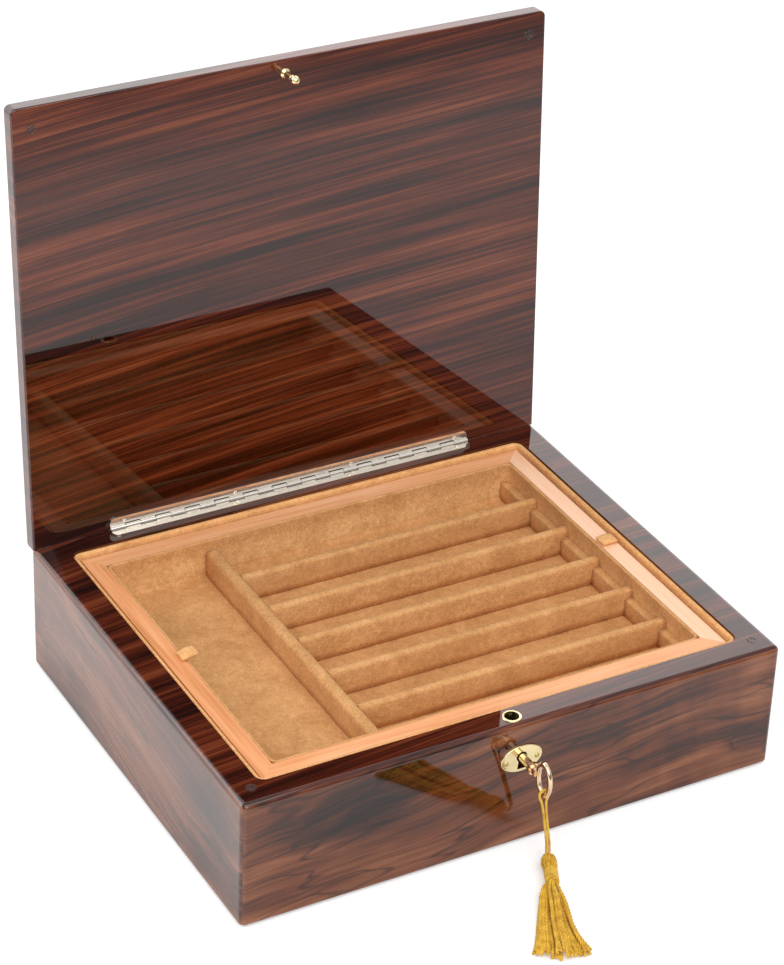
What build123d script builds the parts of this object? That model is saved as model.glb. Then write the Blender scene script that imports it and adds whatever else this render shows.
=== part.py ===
"""Pen collector chest: a hinged display box with a lift-out pen tray, a box lock and a tasselled key.

Frame: origin at the centre of the footprint on the table, X along the front, Y to the back, Z up.
Units are millimetres. The chest stands as it is displayed: lid open against its stop, tray seated,
key in the lock with its tassel lying on the table in front.
"""

from build123d import *
from math import cos, pi, radians, sin, sqrt, tan
import os

# ---------------------------------------------------------------- driving dimensions
case_width = 280.0
case_depth = 229.0
rim_z = 67.0
side_wall = 14.5
end_wall = 13.5
edge_radius = 3.0
foot_radius = 1.0
inner_corner = 5.0

felt_thickness = 1.0
felt_inset = 5.0
bottom_thickness = 6.0
bottom_rabbet = 5.0

lining_thickness = 2.5
lining_recess = 0.6
pad_thickness = 1.5
ledge_width = 6.0

tray_play = 1.5
tray_rail = 8.8
tray_top = 64.0
tray_bottom = 40.0
tray_base_thickness = 3.0
suede_skin = 1.0
pan_corner = 2.5
divider_top = 58.5
main_divider_thickness = 6.5
main_divider_x = -56.7
pen_divider_thickness = 4.5
pen_slots = 6
end_rail_width = 4.6
end_rail_top = 54.0
divider_round = 2.0

tab_width = 9.0
tab_length = 9.5
tab_height = 2.6
tab_skin = 0.9
tab_y = 2.0
tab_lift = 0.15
left_tab_tilt = 10.0
left_tab_root = -113.6
right_tab_root = 113.9

lid_thickness = 10.0
lid_gap = 2.0
hinge_inset = 4.0
open_angle = 93.4
stop_gap = 0.3

hinge_length = 200.0
knuckles = 25
knuckle_gap = 0.3
barrel_radius = 1.5
bore_radius = 0.80
pin_radius = 0.75
leaf_width = 5.6
leaf_thickness = 0.8
leaf_corner = 3.0
barrel_clearance = 0.4
hinge_screw_x = (-92.5, -32.5, 32.5, 92.5)
hinge_screw_offset = 3.6
hinge_screw_length = 8.0
hinge_screw_radius = 1.0
hinge_screw_head = 1.9
screw_seat_play = 0.05

bumper_radius = 2.5
bumper_height = 0.9
bumper_x = 130.6
bumper_y = -103.8

socket_x = -2.0
socket_from_front = 6.9
socket_flange_radius = 4.6
socket_flange = 0.5
socket_sleeve_radius = 4.1
socket_bore_radius = 3.5

key_z = 49.3
lock_front_skin = 2.5
lock_x = (-20.0, 18.0)
lock_z = (34.0, 63.0)
lock_thickness = 10.0
lock_sheet = 1.0
lock_cover_thickness = 0.8
post_radius = 1.0
curtain_radius = 3.3
curtain_bore = 2.15
curtain_slot_half = 1.0
curtain_from_front = (3.7, 9.3)
curtain_bearing = (3.38, 4.6)
curtain_bearing_length = 2.0
keyhole_radius = 2.75
keyhole_drop = 6.5
keyhole_neck = 1.3
keyhole_foot = 2.2

bolt_z = (59.6, 61.0)
bolt_x = (-9.5, 9.5)
bolt_side_gap = 0.2
bolt_guide = 0.7
bolt_hole_radius = 2.8
bolt_slot_half = 1.6
bolt_travel = 5.0
bolt_tail_x = (-6.4, -2.4)
bolt_tail_y = (9.6, 10.7)
bolt_tail_foot = 47.4

stud_flange_radius = 2.5
stud_radius = 1.5
stud_neck_radius = 1.3
stud_head_radius = 2.2
stud_root_radius = 1.5
stud_root_length = 6.0

plate_size = (21.5, 14.0)
plate_thickness = 0.8
plate_z = 48.3
plate_pin_x = 8.0
plate_pin_z = 47.6

key_radius = 2.1
key_bore_radius = 1.075
key_tip = 11.1
key_bore_depth = 8.0
bit_length = 3.2
bit_reach = 6.0
bit_half = 0.9
collar_radius = 3.0
collar_from_front = 9.6
collar_length = 1.6
bow_from_front = 20.0
# half sizes of the oval bow, along the shank and across it
bow_size = (6.2, 9.2)
bow_width = 2.6
bow_thickness = 2.2
bow_round = 0.85

tassel_head_top = Vector(5.7, -134.1, 4.3)
tassel_tail = Vector(-22.1, -192.2, 4.3)
head_radius = 4.1
head_length = 10.5
neck_radius = 3.1
neck_length = 9.0
thread_diameter = 0.85
thread_pitch = 1.3
thread_turns = 6.25
# distance from the head's top, half width, half height, sideways: the skirt flattens on the table
skirt_stations = ((19.5, 2.9, 2.9, 0.0), (28.0, 6.3, 3.8, -1.2), (46.0, 9.3, 3.4, -1.2), (67.0, 13.6, 2.8, 0.3))
skirt_clearance = 0.1

cord_diameter = 1.2
strand_half_gap = 0.68
ring_plane_y = -135.6
# mid-line of the two strands, from inside the tassel's head to the lower end of the straight drop
cord_foot = (Vector(5.27, -135.0, 4.3), Vector(6.4, -132.65, 4.3), Vector(7.1, -131.2, 6.2), Vector(7.2, -130.9, 9.0))
# half width and height of the loop that goes round the ring of the key
cord_loop = ((0.68, 37.8), (2.45, 40.3), (2.45, 44.3))

# ---------------------------------------------------------------- derived places
half_width = case_width / 2
half_depth = case_depth / 2
front_face = -half_depth
inner_half_x = half_width - side_wall
inner_half_y = half_depth - end_wall
lip_z = rim_z - lining_recess
floor_z = felt_thickness + bottom_thickness
pad_z = floor_z + pad_thickness
lined_half_x = inner_half_x - lining_thickness
lined_half_y = inner_half_y - lining_thickness
tray_half_x = lined_half_x - tray_play
tray_half_y = lined_half_y - tray_play
rail_half_x = tray_half_x - tray_rail
rail_half_y = tray_half_y - tray_rail
pan_half_x = rail_half_x - suede_skin
pan_half_y = rail_half_y - suede_skin
pan_floor = tray_bottom + tray_base_thickness + suede_skin
slot_width = (2 * pan_half_y - (pen_slots - 1) * pen_divider_thickness) / pen_slots
slot_pitch = slot_width + pen_divider_thickness
slots_left = main_divider_x + main_divider_thickness / 2

hinge_y = half_depth - hinge_inset
hinge_z = rim_z + lid_gap / 2
hinge_axis = Axis((0, hinge_y, hinge_z), (1, 0, 0))
knuckle_pitch = hinge_length / knuckles
lid_z = rim_z + lid_gap

socket_y = front_face + socket_from_front
lock_front = front_face + lock_front_skin
lock_back = lock_front + lock_thickness
cavity_front = lock_front + lock_sheet
key_axis = Plane(origin=(0, front_face, key_z), x_dir=(1, 0, 0), z_dir=(0, -1, 0))
bow_y = front_face - bow_from_front

os.makedirs("parts", exist_ok=True)


def save(part, name):
    """Label a finished piece and write it under its node's name."""
    part.label = name
    export_step(part, f"parts/{name}.step")


def opened(part):
    """A piece of the lid, turned about the hinge pin from closed to the open stop."""
    return part.rotate(hinge_axis, -open_angle)


# ---------------------------------------------------------------- case carcass
def stop_bevel(sign):
    """Prism behind the pin that bevels the rear edge of the rim (-1) or of the lid (+1).

    Both bevels lie on the plane that halves the open angle, so they meet as the lid's stop.
    """
    lean = radians(open_angle / 2)
    down = Vector(0, cos(lean), sign * sin(lean))
    normal = Vector(0, sin(lean), -sign * cos(lean))
    start = Vector(0, hinge_y, hinge_z) - normal * (stop_gap / 2)
    reach = 3 * hinge_inset
    corners = [start - down * reach, start + down * reach]
    corners += [corners[1] + normal * reach, corners[0] + normal * reach]
    with BuildPart() as prism:
        with BuildSketch(Plane.YZ):
            Polygon(*[(c.Y, c.Z) for c in corners], align=None)
        extrude(amount=case_width, both=True)
    return prism.part


def barrel_groove():
    """Round groove that the hinge barrel turns in, shared by the rim and the lid."""
    with BuildPart() as groove:
        with BuildSketch(Plane.YZ):
            with Locations((hinge_y, hinge_z)):
                Circle(barrel_radius + knuckle_gap)
        extrude(amount=hinge_length / 2 + knuckle_gap, both=True)
    return groove.part


with BuildPart() as carcass:
    with BuildSketch(Plane.XY.offset(felt_thickness)):
        RectangleRounded(case_width, case_depth, edge_radius)
    extrude(amount=rim_z - felt_thickness)
    fillet(carcass.faces().sort_by(Axis.Z)[-1].edges(), edge_radius * 0.95)
    fillet(carcass.faces().sort_by(Axis.Z)[0].edges(), foot_radius)
    with BuildSketch(Plane.XY.offset(felt_thickness)):
        RectangleRounded(2 * inner_half_x, 2 * inner_half_y, inner_corner)
    extrude(amount=rim_z, mode=Mode.SUBTRACT)
    with BuildSketch(Plane.XY.offset(felt_thickness)):
        Rectangle(2 * (inner_half_x + bottom_rabbet), 2 * (inner_half_y + bottom_rabbet))
    extrude(amount=bottom_thickness, mode=Mode.SUBTRACT)
    add(stop_bevel(-1), mode=Mode.SUBTRACT)
    add(barrel_groove(), mode=Mode.SUBTRACT)


def mitred(corners):
    """One wall of the carcass, cut from it along its mitres."""
    with BuildPart() as wall:
        add(carcass.part)
        with BuildSketch():
            Polygon(*corners, align=None)
        extrude(amount=2 * rim_z, mode=Mode.INTERSECT)
    return wall.part


mitre_x = half_width - 1.5 * side_wall
mitre_y = half_depth - 1.5 * end_wall
left_edge = [(-half_width, -half_depth), (-mitre_x, -mitre_y), (-mitre_x, mitre_y), (-half_width, half_depth)]
front_edge = [(-half_width, -half_depth), (half_width, -half_depth), (mitre_x, -mitre_y), (-mitre_x, -mitre_y)]


def keyhole(margin, depth_start, depth):
    """A keyhole-shaped prism along the key's axis, from depth_start behind the front face."""
    with BuildPart() as hole:
        with BuildSketch(key_axis.offset(-depth_start)):
            Circle(keyhole_radius + margin)
            Polygon(
                (-keyhole_neck - margin, 0),
                (keyhole_neck + margin, 0),
                (keyhole_foot + margin, -keyhole_drop - margin),
                (-keyhole_foot - margin, -keyhole_drop - margin),
                align=None,
            )
        extrude(amount=-depth)
    return hole.part


def block(x, y, z):
    """A box between two limits along each axis."""
    with BuildPart() as solid:
        with BuildSketch(Plane.XY.offset(z[0])):
            with Locations(((x[0] + x[1]) / 2, (y[0] + y[1]) / 2)):
                Rectangle(x[1] - x[0], y[1] - y[0])
        extrude(amount=z[1] - z[0])
    return solid.part


with BuildPart() as front_wall:
    add(mitred(front_edge))
    # mortise for the lock, open to the inside
    add(block(lock_x, (lock_front, -inner_half_y), lock_z), mode=Mode.SUBTRACT)
    add(keyhole(0.3, 0, lock_front_skin), mode=Mode.SUBTRACT)
    with Locations((socket_x, socket_y, rim_z)):
        Hole(socket_sleeve_radius, depth=rim_z - lock_z[1])
    # blind holes for the escutcheon's pins
    with Locations(key_axis.offset(0)):
        with Locations(*[(x, plate_pin_z - key_z, 0) for x in (-plate_pin_x, plate_pin_x)]):
            Hole(0.6, depth=2.2)
save(front_wall.part, "case_front_wall")

with BuildPart() as back_wall:
    add(mitred([(x, -y) for x, y in front_edge]))
    with Locations(*[(x, hinge_y - hinge_screw_offset, rim_z) for x in hinge_screw_x]):
        Hole(hinge_screw_radius + 0.1, depth=hinge_screw_length)
save(back_wall.part, "case_back_wall")

left_wall = mitred(left_edge)
save(left_wall, "case_left_wall")
right_wall = mitred([(-x, y) for x, y in left_edge])
save(right_wall, "case_right_wall")

with BuildPart() as bottom_panel:
    with BuildSketch(Plane.XY.offset(felt_thickness)):
        Rectangle(2 * (inner_half_x + bottom_rabbet), 2 * (inner_half_y + bottom_rabbet))
    extrude(amount=bottom_thickness)
save(bottom_panel.part, "case_bottom")

with BuildPart() as base_felt:
    with BuildSketch():
        RectangleRounded(case_width - 2 * felt_inset, case_depth - 2 * felt_inset, edge_radius)
    extrude(amount=felt_thickness)
save(base_felt.part, "base_felt")

# ---------------------------------------------------------------- linings inside the case
with BuildPart() as case_lining:
    with BuildSketch(Plane.XY.offset(floor_z)):
        RectangleRounded(2 * inner_half_x, 2 * inner_half_y, inner_corner)
        RectangleRounded(
            2 * lined_half_x, 2 * lined_half_y, inner_corner - lining_thickness, mode=Mode.SUBTRACT
        )
    extrude(amount=lip_z - floor_z)
    # the wrapped top edge is rounded
    fillet(case_lining.faces().sort_by(Axis.Z)[-1].edges(), 0.8)
save(case_lining.part, "case_lining")

with BuildPart() as floor_pad:
    with BuildSketch(Plane.XY.offset(floor_z)):
        RectangleRounded(2 * lined_half_x, 2 * lined_half_y, inner_corner - lining_thickness)
    extrude(amount=pad_thickness)
save(floor_pad.part, "floor_pad")

ledge_half_x = lined_half_x - ledge_width
ledge_half_y = lined_half_y - ledge_width
for side, name in ((-1, "tray_ledge_left"), (1, "tray_ledge_right")):
    ends = sorted((side * ledge_half_x, side * lined_half_x))
    with BuildPart() as side_ledge:
        add(block(ends, (-ledge_half_y, ledge_half_y), (pad_z, tray_bottom)))
    save(side_ledge.part, name)
for side, name in ((-1, "tray_ledge_front"), (1, "tray_ledge_back")):
    ends = sorted((side * ledge_half_y, side * lined_half_y))
    with BuildPart() as end_ledge:
        add(block((-lined_half_x, lined_half_x), ends, (pad_z, tray_bottom)))
        corners = end_ledge.edges().filter_by(Axis.Z).group_by(Axis.Y)[0 if side < 0 else -1]
        fillet(corners, inner_corner - lining_thickness)
    save(end_ledge.part, name)


# ---------------------------------------------------------------- lift-out tray
def tray_member(corners):
    """One mitred cedar rail of the tray, with a slightly eased top edge."""
    with BuildPart() as member:
        with BuildSketch(Plane.XY.offset(tray_bottom)):
            Polygon(*corners, align=None)
        extrude(amount=tray_top - tray_bottom)
        # rabbet under the rail for the base panel
        with BuildSketch(Plane.XY.offset(tray_bottom)):
            Rectangle(2 * rail_half_x + tray_rail, 2 * rail_half_y + tray_rail)
        extrude(amount=tray_base_thickness, mode=Mode.SUBTRACT)
    return member.part


tray_side = [(-tray_half_x, -tray_half_y), (-rail_half_x, -rail_half_y)]
tray_side += [(-rail_half_x, rail_half_y), (-tray_half_x, tray_half_y)]
tray_end = [(-tray_half_x, -tray_half_y), (tray_half_x, -tray_half_y)]
tray_end += [(rail_half_x, -rail_half_y), (-rail_half_x, -rail_half_y)]
tray_rails = {
    "tray_rail_left": tray_side,
    "tray_rail_right": [(-x, y) for x, y in tray_side],
    "tray_rail_front": tray_end,
    "tray_rail_back": [(x, -y) for x, y in tray_end],
}
for name, corners in tray_rails.items():
    save(tray_member(corners), name)

with BuildPart() as tray_base:
    with BuildSketch(Plane.XY.offset(tray_bottom)):
        Rectangle(2 * rail_half_x + tray_rail, 2 * rail_half_y + tray_rail)
    extrude(amount=tray_base_thickness)
save(tray_base.part, "tray_base")

with BuildPart() as tray_lining:
    with BuildSketch(Plane.XY.offset(tray_bottom + tray_base_thickness)):
        Rectangle(2 * rail_half_x, 2 * rail_half_y)
    extrude(amount=tray_top - tray_bottom - tray_base_thickness)
    with BuildSketch(Plane.XY.offset(pan_floor)):
        RectangleRounded(2 * pan_half_x, 2 * pan_half_y, pan_corner)
    extrude(amount=tray_top, mode=Mode.SUBTRACT)
save(tray_lining.part, "tray_lining")


def divider(x, y):
    """A suede-covered divider standing on the pan's floor, with its top edge rounded."""
    with BuildPart() as wall:
        add(block(x, y, (pan_floor, divider_top)))
        long_way = Axis.X if x[1] - x[0] > y[1] - y[0] else Axis.Y
        fillet(wall.edges().filter_by(long_way).group_by(Axis.Z)[-1], divider_round)
    return wall.part


half_main = main_divider_thickness / 2
main_divider_ends = pan_half_y
save(
    divider((main_divider_x - half_main, main_divider_x + half_main), (-main_divider_ends, main_divider_ends)),
    "main_divider",
)

for number in range(1, pen_slots):
    centre = pan_half_y - number * slot_pitch + pen_divider_thickness / 2
    across = (centre - pen_divider_thickness / 2, centre + pen_divider_thickness / 2)
    save(divider((slots_left, pan_half_x), across), f"pen_divider_{number}")

with BuildPart() as end_rail:
    for number in range(pen_slots):
        low = -pan_half_y + number * slot_pitch
        with BuildSketch(Plane.XY.offset(pan_floor)):
            with Locations((pan_half_x - end_rail_width / 2, low + slot_width / 2)):
                Rectangle(end_rail_width, slot_width)
        extrude(amount=end_rail_top - pan_floor)
    # the two blocks at the ends give way to the pan's rounded corners
    with BuildSketch(Plane.XY.offset(pan_floor)):
        RectangleRounded(2 * pan_half_x, 2 * pan_half_y, pan_corner)
    extrude(amount=tray_top, mode=Mode.INTERSECT)
save(end_rail.part, "end_rail")


def pull_tab():
    """A loop of suede ribbon lying along +X, with the fold at its root centred on the origin."""
    with BuildPart() as loop:
        with BuildSketch(Plane.XZ.offset(-tab_width / 2)):
            with Locations(((tab_length - tab_height) / 2, 0)):
                SlotOverall(tab_length, tab_height)
                SlotOverall(tab_length - 2 * tab_skin, tab_height - 2 * tab_skin, mode=Mode.SUBTRACT)
        extrude(amount=tab_width)
    return loop.part


tab_z = tray_top + tab_lift + tab_height / 2
save(pull_tab().moved(Location((right_tab_root, tab_y, tab_z))), "pull_tab_right")
tilted_tab = pull_tab().rotate(Axis.Y, -left_tab_tilt)
save(tilted_tab.moved(Location((left_tab_root, tab_y, tab_z))), "pull_tab_left")

# ---------------------------------------------------------------- lid
with BuildPart() as lid_panel:
    with BuildSketch(Plane.XY.offset(lid_z)):
        RectangleRounded(case_width, case_depth, edge_radius)
    extrude(amount=lid_thickness)
    fillet(lid_panel.faces().sort_by(Axis.Z)[-1].edges(), edge_radius * 0.95)
    fillet(lid_panel.faces().sort_by(Axis.Z)[0].edges(), foot_radius)
    add(stop_bevel(1), mode=Mode.SUBTRACT)
    add(barrel_groove(), mode=Mode.SUBTRACT)
    with Locations(Plane(origin=(0, 0, lid_z), x_dir=(1, 0, 0), z_dir=(0, 0, -1))):
        with Locations(*[(x, -hinge_y + hinge_screw_offset) for x in hinge_screw_x]):
            Hole(hinge_screw_radius + 0.1, depth=hinge_screw_length)
        with Locations((socket_x, -socket_y)):
            Hole(stud_root_radius, depth=stud_root_length)
save(opened(lid_panel.part), "lid_panel")

def bumpers(face_z, side):
    """A pair of clear domed dots at the front corners, on the rim (+1) or under the lid (-1)."""
    with BuildPart() as dots:
        with BuildSketch(Plane.XY.offset(face_z)):
            with Locations((-bumper_x, bumper_y), (bumper_x, bumper_y)):
                Circle(bumper_radius)
        extrude(amount=side * bumper_height)
        fillet(dots.faces().group_by(Axis.Z)[0 if side < 0 else -1].edges(), bumper_height * 0.8)
    return dots.part


save(bumpers(rim_z, 1), "rim_bumpers")
save(opened(bumpers(lid_z, -1)), "lid_bumpers")

with BuildPart() as catch_stud:
    with BuildSketch(Plane.XZ):
        with BuildLine():
            Polyline(
                (0, lid_z + stud_root_length),
                (stud_root_radius, lid_z + stud_root_length),
                (stud_root_radius, lid_z),
                (stud_flange_radius, lid_z),
                (stud_flange_radius, lid_z - 0.6),
                (stud_radius + 0.6, lid_z - 1.0),
                (stud_radius, lid_z - 1.6),
                (stud_radius, bolt_z[1] + 0.9),
                (stud_neck_radius, bolt_z[1] + 0.4),
                (stud_neck_radius, bolt_z[0] - 0.4),
                (stud_head_radius, bolt_z[0] - 0.9),
            )
            ThreePointArc(
                (stud_head_radius, bolt_z[0] - 0.9),
                (stud_head_radius * sin(pi / 4), bolt_z[0] - 0.9 - stud_head_radius * cos(pi / 4)),
                (0, bolt_z[0] - 0.9 - stud_head_radius),
            )
            Line((0, bolt_z[0] - 0.9 - stud_head_radius), (0, lid_z + stud_root_length))
        make_face()
    revolve(axis=Axis.Z)
save(opened(catch_stud.part.moved(Location((socket_x, socket_y, 0)))), "lid_catch_stud")


# ---------------------------------------------------------------- piano hinge
def hinge_leaf(side, own):
    """One leaf of the piano hinge, closed: side -1 lies on the rim, +1 under the lid.

    own is 0 or 1: the leaf carries every second knuckle, starting with that one.
    """
    base = hinge_z + side * lid_gap / 2
    with BuildPart() as leaf:
        with BuildSketch(Plane.XY.offset(base)):
            with Locations((0, hinge_y - leaf_width / 2)):
                Rectangle(hinge_length, leaf_width)
        extrude(amount=-side * leaf_thickness)
        fillet(leaf.edges().filter_by(Axis.Z).group_by(Axis.Y)[0], leaf_corner)
        for number in range(knuckles):
            middle = -hinge_length / 2 + (number + 0.5) * knuckle_pitch
            if number % 2 == own:
                with BuildSketch(Plane.YZ.offset(middle - knuckle_pitch / 2 + knuckle_gap / 2)):
                    with Locations((hinge_y, hinge_z)):
                        Circle(barrel_radius)
                extrude(amount=knuckle_pitch - knuckle_gap)
            else:
                with BuildSketch(Plane.YZ.offset(middle - knuckle_pitch / 2 - knuckle_gap / 2)):
                    with Locations((hinge_y, hinge_z)):
                        Circle(barrel_radius + barrel_clearance)
                extrude(amount=knuckle_pitch + knuckle_gap, mode=Mode.SUBTRACT)
        with BuildSketch(Plane.YZ.offset(-hinge_length)):
            with Locations((hinge_y, hinge_z)):
                Circle(bore_radius)
        extrude(amount=2 * hinge_length, mode=Mode.SUBTRACT)
        face_up = Plane(origin=(0, 0, base - side * leaf_thickness), x_dir=(1, 0, 0), z_dir=(0, 0, -side))
        with Locations(face_up):
            with Locations(*[(x, -side * (hinge_y - hinge_screw_offset)) for x in hinge_screw_x]):
                CounterSinkHole(hinge_screw_radius, hinge_screw_head, 2 * leaf_thickness, 90)
    return leaf.part


def hinge_screws(side):
    """Four countersunk screws through one leaf, closed, with crossed recesses in their heads."""
    top = hinge_z + side * (lid_gap / 2 - leaf_thickness)
    taper = hinge_screw_head - screw_seat_play - hinge_screw_radius
    with BuildPart() as screws:
        for x in hinge_screw_x:
            seat = Plane(origin=(x, hinge_y - hinge_screw_offset, top), x_dir=(1, 0, 0), z_dir=(0, 0, side))
            with BuildSketch(seat):
                Circle(hinge_screw_head - screw_seat_play)
            extrude(amount=taper, taper=44.9)
            with BuildSketch(seat):
                Circle(hinge_screw_radius)
            extrude(amount=hinge_screw_length)
            with BuildSketch(seat):
                Rectangle(2.2, 0.45)
                Rectangle(0.45, 2.2)
            extrude(amount=0.5, mode=Mode.SUBTRACT)
    return screws.part


save(hinge_leaf(-1, 1), "hinge_case_leaf")
save(opened(hinge_leaf(1, 0)), "hinge_lid_leaf")
save(hinge_screws(-1), "hinge_case_screws")
save(opened(hinge_screws(1)), "hinge_lid_screws")

with BuildPart() as hinge_pin:
    with BuildSketch(Plane.YZ.offset(-hinge_length / 2)):
        with Locations((hinge_y, hinge_z)):
            Circle(pin_radius)
    extrude(amount=hinge_length)
save(hinge_pin.part, "hinge_pin")

# ---------------------------------------------------------------- lock in the front wall
with BuildPart() as lock_case:
    add(block(lock_x, (lock_front, lock_back), lock_z))
    inside_x = (lock_x[0] + lock_sheet, lock_x[1] - lock_sheet)
    inside_z = (lock_z[0] + lock_sheet, lock_z[1] - lock_sheet)
    add(block(inside_x, (cavity_front, lock_back), inside_z), mode=Mode.SUBTRACT)
    # guide rail that the bolt slides on
    add(block(inside_x, (cavity_front, cavity_front + bolt_guide), (bolt_z[0] - 0.8, bolt_z[0] - 0.1)))
    # short bearing that the curtain turns in
    with BuildSketch(key_axis.offset(-(cavity_front - front_face))):
        Circle(curtain_bearing[1])
        Circle(curtain_bearing[0], mode=Mode.SUBTRACT)
    extrude(amount=-curtain_bearing_length)
    add(keyhole(0, lock_front_skin, lock_sheet + curtain_bearing_length), mode=Mode.SUBTRACT)
    with Locations((socket_x, socket_y, lock_z[1])):
        Hole(socket_bore_radius, depth=lock_sheet)
save(lock_case.part, "lock_case")

with BuildPart() as lock_cover:
    add(block(lock_x, (lock_back, lock_back + lock_cover_thickness), lock_z))
    add(block(inside_x, (lock_back - bolt_guide, lock_back), (bolt_z[0] - 0.8, bolt_z[0] - 0.1)))
save(lock_cover.part, "lock_cover")

with BuildPart() as key_post:
    with BuildSketch(key_axis.offset(-(lock_back - front_face))):
        Circle(post_radius)
    extrude(amount=lock_back - cavity_front - 1.0)
save(key_post.part, "key_post")

# slotted tube that the key's bit drives, and that guides the shank
with BuildPart() as lock_curtain:
    with BuildSketch(key_axis.offset(-curtain_from_front[0])):
        Circle(curtain_radius)
        Circle(curtain_bore, mode=Mode.SUBTRACT)
        with Locations((0, -curtain_radius)):
            Rectangle(2 * curtain_slot_half, 2 * curtain_radius, mode=Mode.SUBTRACT)
    extrude(amount=-(curtain_from_front[1] - curtain_from_front[0]))
save(lock_curtain.part, "lock_curtain")

with BuildPart() as lock_screws:
    for x in (lock_x[0] + 3, lock_x[1] - 3):
        for z in (lock_z[0] + 3, lock_z[1] - 6):
            head = Plane(origin=(x, lock_back + lock_cover_thickness, z), x_dir=(1, 0, 0), z_dir=(0, 1, 0))
            with BuildSketch(head):
                Circle(1.6)
                Rectangle(2.4, 0.4, mode=Mode.SUBTRACT)
            extrude(amount=0.15)
save(lock_screws.part, "lock_cover_screws")

with BuildPart() as lock_bolt:
    plate_y = (cavity_front + bolt_side_gap, lock_back - bolt_side_gap)
    add(block(bolt_x, plate_y, bolt_z))
    with Locations((socket_x, socket_y, bolt_z[1])):
        Hole(bolt_hole_radius, depth=bolt_z[1] - bolt_z[0])
    with BuildSketch(Plane.XY.offset(bolt_z[0])):
        with Locations((socket_x + bolt_travel / 2, socket_y)):
            SlotCenterToCenter(bolt_travel, 2 * bolt_slot_half)
    extrude(amount=bolt_z[1] - bolt_z[0], mode=Mode.SUBTRACT)
    tail_y = (front_face + bolt_tail_y[0], front_face + bolt_tail_y[1])
    add(block(bolt_tail_x, tail_y, (bolt_tail_foot, bolt_z[0])))
save(lock_bolt.part, "lock_bolt")

with BuildPart() as lock_socket:
    with BuildSketch(Plane.XY.offset(lock_z[1])):
        with Locations((socket_x, socket_y)):
            Circle(socket_sleeve_radius)
    extrude(amount=rim_z - lock_z[1])
    with BuildSketch(Plane.XY.offset(rim_z)):
        with Locations((socket_x, socket_y)):
            Circle(socket_flange_radius)
    extrude(amount=socket_flange)
    fillet(lock_socket.faces().sort_by(Axis.Z)[-1].edges(), 0.3)
    with Locations((socket_x, socket_y, rim_z + socket_flange)):
        Hole(socket_bore_radius, depth=2 * rim_z)
save(lock_socket.part, "lock_socket")

with BuildPart() as escutcheon:
    with BuildSketch(Plane(origin=(0, front_face, plate_z), x_dir=(1, 0, 0), z_dir=(0, -1, 0))):
        Ellipse(plate_size[0] / 2, plate_size[1] / 2)
    extrude(amount=plate_thickness)
    fillet(escutcheon.faces().sort_by(Axis.Y)[0].edges(), 0.35)
    add(keyhole(0, -plate_thickness, plate_thickness), mode=Mode.SUBTRACT)
    with Locations(key_axis.offset(plate_thickness)):
        with Locations(*[(x, plate_pin_z - key_z, 0) for x in (-plate_pin_x, plate_pin_x)]):
            Hole(0.6, depth=plate_thickness)
save(escutcheon.part, "escutcheon")

with BuildPart() as escutcheon_pins:
    for x in (-plate_pin_x, plate_pin_x):
        seat = Plane(origin=(x, front_face, plate_pin_z), x_dir=(1, 0, 0), z_dir=(0, -1, 0))
        with BuildSketch(seat.offset(-2.2)):
            Circle(0.6)
        extrude(amount=2.2 + plate_thickness)
        with BuildSketch(seat.offset(plate_thickness)):
            Circle(1.25)
        extrude(amount=0.5, taper=35)
save(escutcheon_pins.part, "escutcheon_pins")

# ---------------------------------------------------------------- key
with BuildPart() as key:
    # pipe shank with its bit, drawn with the bit hanging down
    with BuildSketch(key_axis.offset(-key_tip)):
        Circle(key_radius)
    extrude(amount=key_tip + bow_from_front - bow_size[0] + 0.8)
    with BuildSketch(key_axis.offset(-key_tip)):
        with Locations((0, -bit_reach / 2)):
            Rectangle(2 * bit_half, bit_reach)
    extrude(amount=bit_length)
    with BuildSketch(key_axis.offset(-key_tip)):
        Circle(key_bore_radius)
    extrude(amount=key_bore_depth, mode=Mode.SUBTRACT)
    # collar against which the key is pushed home
    with BuildSketch(key_axis.offset(collar_from_front)):
        Circle(collar_radius)
    extrude(amount=collar_length)
    # oval bow, standing upright in the plane of the shank
    with BuildPart(mode=Mode.PRIVATE) as bow:
        with BuildSketch(Plane.YZ.offset(-bow_thickness / 2)):
            with Locations((bow_y, key_z)):
                Ellipse(*bow_size)
                Ellipse(bow_size[0] - bow_width, bow_size[1] - bow_width, mode=Mode.SUBTRACT)
        extrude(amount=bow_thickness)
        fillet(bow.edges(), bow_round)
    add(bow.part)
save(key.part, "key")


# ---------------------------------------------------------------- tassel on the key
tassel_way = (tassel_tail - tassel_head_top).normalized()
tassel_side = Vector(-tassel_way.Y, tassel_way.X, 0)


def along_tassel(distance, height=0.0):
    """A cutting plane square to the tassel's length, with its local X level."""
    centre = tassel_head_top + tassel_way * distance
    return Plane(origin=(centre.X, centre.Y, height or centre.Z), x_dir=tassel_side, z_dir=tassel_way)


core_radius = neck_radius - thread_diameter
bound_length = head_length + neck_length
with BuildPart() as tassel_head:
    with BuildSketch(Plane(origin=tassel_head_top, x_dir=tassel_side, z_dir=tassel_side.cross(tassel_way))):
        with BuildLine():
            ThreePointArc(
                (0, 0),
                (head_radius * sin(pi / 4), head_radius * (1 - cos(pi / 4))),
                (head_radius, head_radius),
            )
            TangentArc((head_radius, head_radius), (core_radius + 0.5, head_length - 0.3), tangent=(0, 1))
            Polyline(
                (core_radius + 0.5, head_length - 0.3),
                (core_radius, head_length),
                (core_radius, bound_length),
                (0, bound_length),
                (0, 0),
            )
        make_face()
    revolve(axis=Axis(tassel_head_top, tassel_way))
save(tassel_head.part, "tassel_head")

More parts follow.
